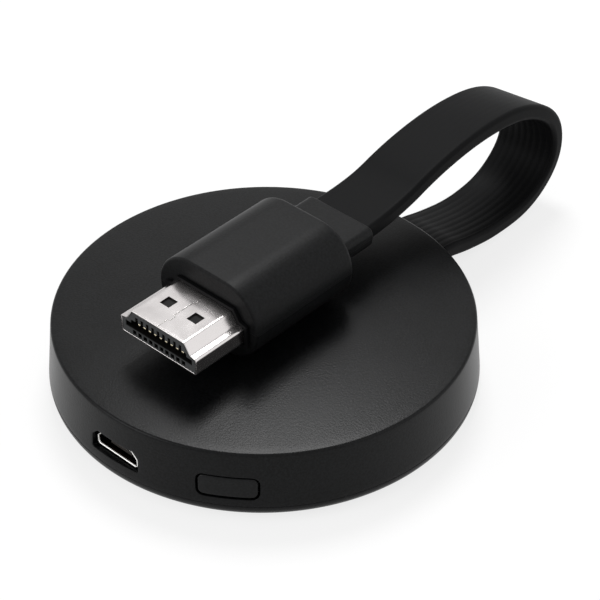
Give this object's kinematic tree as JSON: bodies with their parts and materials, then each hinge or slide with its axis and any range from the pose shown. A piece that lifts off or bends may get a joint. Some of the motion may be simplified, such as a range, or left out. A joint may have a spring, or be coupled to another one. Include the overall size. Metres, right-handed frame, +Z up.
{
  "type": "wireless display dongle",
  "caption": "Round wireless display dongle lying on its front cover, its flat cable looped back so that the plug rests on the domed rear cover.",
  "frame": {"origin": "on the surface it lies on, under the middle of the round housing", "axes": "+Z up through the domed rear cover, +Y towards the place where the cable leaves the housing, -Y towards the power port and the tip of the plug"},
  "size_m": [0.0596, 0.0905, 0.0234],
  "materials": {
    "cover_plastic": "fine satin",
    "button_plastic": "fine satin",
    "boot_rubber": "satin",
    "cable_jacket": "satin",
    "gland_rubber": "satin",
    "plug_metal": "bright nickel plate",
    "contact_metal": "gold plate",
    "contact_plastic": "moulded",
    "mould_plastic": "moulded",
    "comb_plastic": "moulded",
    "can_metal": "tin plate",
    "wire_jacket": "extruded",
    "board_laminate": "solder mask",
    "chip_plastic": "moulded",
    "shield_metal": "tin plate",
    "spreader_metal": "mill finish",
    "pad_silicone": "soft",
    "screw_metal": "zinc plate",
    "ferrite": "ceramic",
    "ceramic": "ceramic",
    "switch_plastic": "moulded",
    "port_metal": "nickel plate",
    "port_plastic": "moulded"
  },
  "bodies": {
    "housing": {"rear_cover": "cover_plastic", "front_cover": "cover_plastic", "main_board": "board_laminate", "board_screws": "screw_metal", "processor": "chip_plastic", "memory_chip": "chip_plastic", "flash_chip": "chip_plastic", "thermal_pad": "pad_silicone", "gap_pad": "pad_silicone", "shield_frame": "shield_metal", "shield_lid": "shield_metal", "heat_spreader": "spreader_metal", "radio_module": "shield_metal", "crystal": "shield_metal", "power_inductors": "ferrite", "voltage_regulators": "chip_plastic", "capacitors": "ceramic", "antennas": "shield_metal", "port_shell": "port_metal", "port_tongue": "port_plastic", "port_contacts": "contact_metal", "switch_body": "switch_plastic", "switch_cover": "shield_metal", "cable_gland": "gland_rubber", "cable_cores": "wire_jacket", "cable_header": "comb_plastic", "flat_cable": "cable_jacket", "plug_boot": "boot_rubber", "plug_inner_mould": "mould_plastic", "plug_shell": "plug_metal", "plug_contact_block": "contact_plastic", "plug_upper_contacts": "contact_metal", "plug_lower_contacts": "contact_metal", "plug_shield_can": "can_metal", "plug_core_comb": "comb_plastic", "plug_cores": "wire_jacket"},
    "button": {"button_cap": "button_plastic"},
    "plunger": {"switch_plunger": "switch_plastic"}
  },
  "joints": [
    {"name": "button_press", "type": "slide", "parent": "housing", "child": "button", "axis": [-0.5635, 0.8261, 0], "range_m": [0, 0.00035], "stiffness_N_per_m": 400, "springref_m": -0.001},
    {"name": "plunger_press", "type": "slide", "parent": "housing", "child": "plunger", "axis": [-0.5635, 0.8261, 0], "range_m": [0, 0.00035]}
  ],
  "couplings": [
    {"joint": "plunger_press", "follows": "button_press", "ratio": 1}
  ]
}
